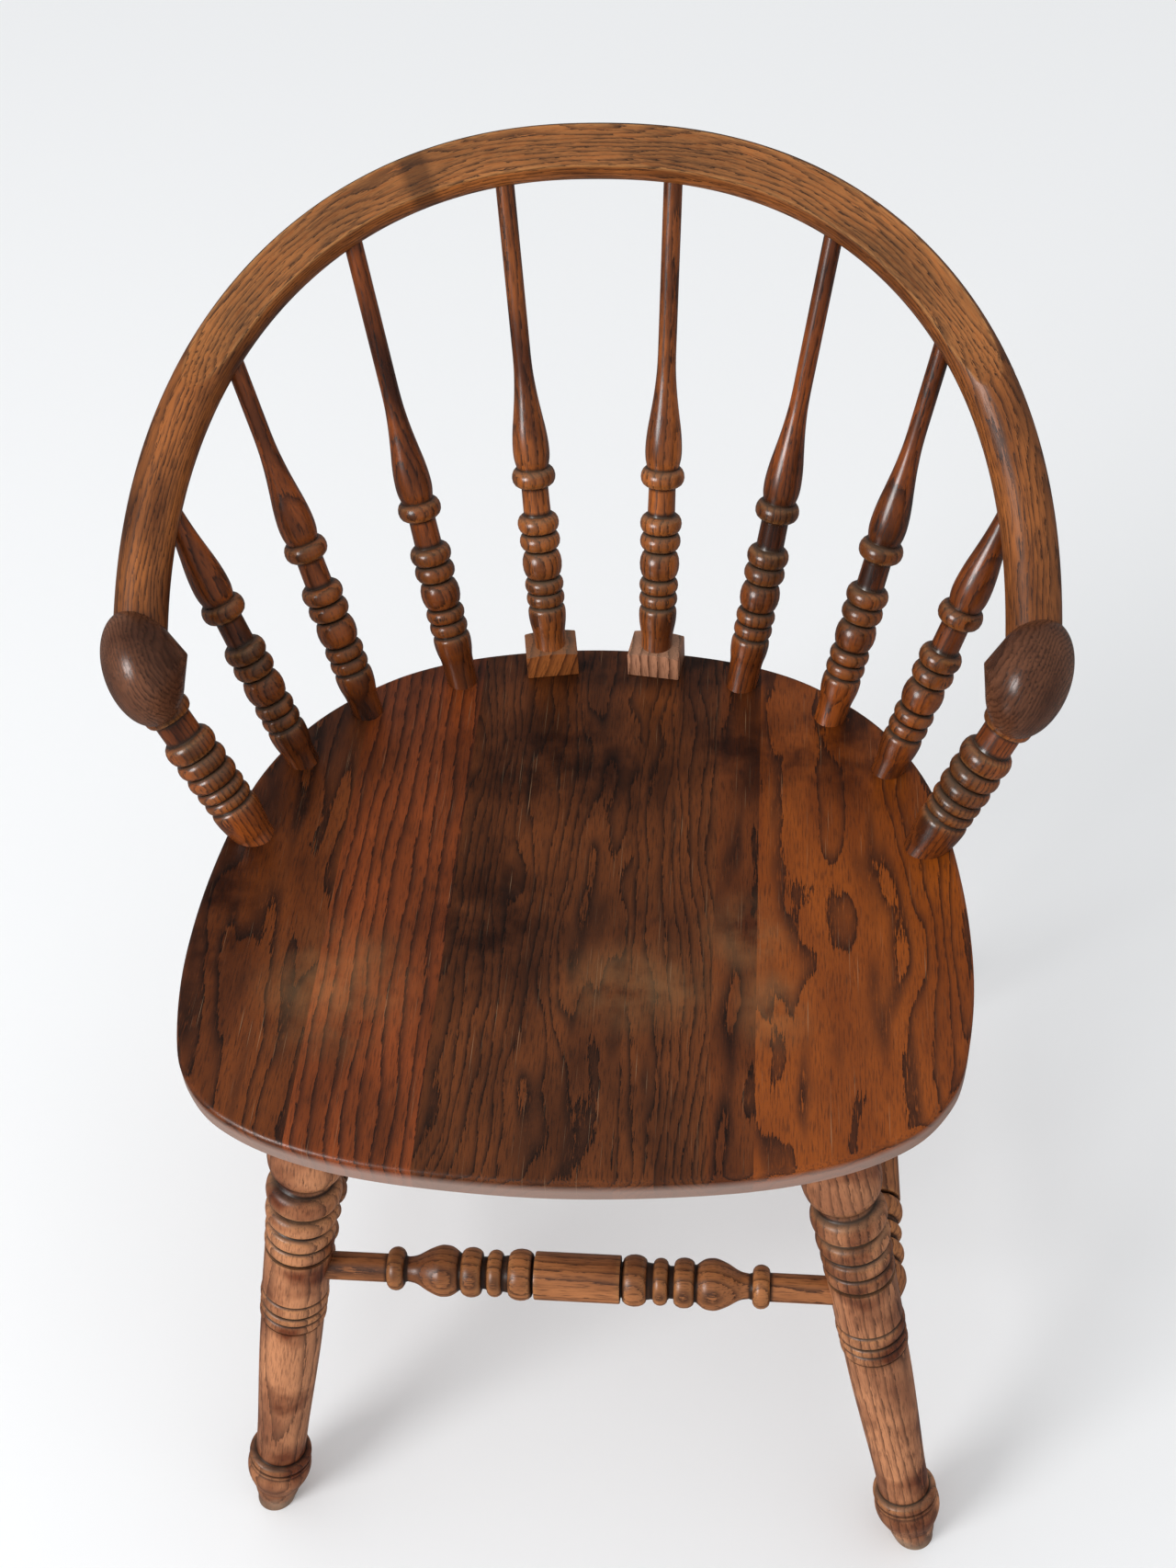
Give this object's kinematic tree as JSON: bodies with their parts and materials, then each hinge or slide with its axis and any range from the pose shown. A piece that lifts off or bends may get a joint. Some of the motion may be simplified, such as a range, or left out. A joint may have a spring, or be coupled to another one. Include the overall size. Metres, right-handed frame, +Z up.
{
  "type": "spindle back arm chair",
  "caption": "Worn stained oak arm chair with a bent round bow, turned spindles, knobbed arm ends, a shaped flat seat and splayed turned legs joined by stretchers.",
  "frame": {"origin": "on the floor, below the middle of the bounding box", "axes": "+Z up, the sitter faces -Y, +X to the right of someone who stands in front of the chair"},
  "size_m": [0.6052, 0.5709, 0.7912],
  "materials": {
    "seat_oak": "worn satin varnish over dark stain",
    "bow_oak": "worn satin varnish over brown stain",
    "knob_oak": "hand-polished dark stain",
    "turned_oak": "satin varnish, dust in the grooves",
    "leg_oak": "scuffed, hazy varnish",
    "block_oak": "worn satin varnish, dusty top"
  },
  "bodies": {
    "root": {"seat": "seat_oak", "bow": "bow_oak", "knob_left": "knob_oak", "knob_right": "knob_oak", "arm_post_left": "turned_oak", "arm_post_right": "turned_oak", "spindle_left_1": "turned_oak", "spindle_left_2": "turned_oak", "spindle_left_3": "turned_oak", "spindle_right_1": "turned_oak", "spindle_right_2": "turned_oak", "spindle_right_3": "turned_oak", "spindle_center_left": "turned_oak", "spindle_center_right": "turned_oak", "block_left": "block_oak", "block_right": "block_oak", "leg_front_left": "leg_oak", "leg_front_right": "leg_oak", "leg_rear_left": "leg_oak", "leg_rear_right": "leg_oak", "stretcher_front": "leg_oak", "stretcher_rear": "leg_oak", "stretcher_left": "leg_oak", "stretcher_right": "leg_oak"}
  },
  "joints": []
}
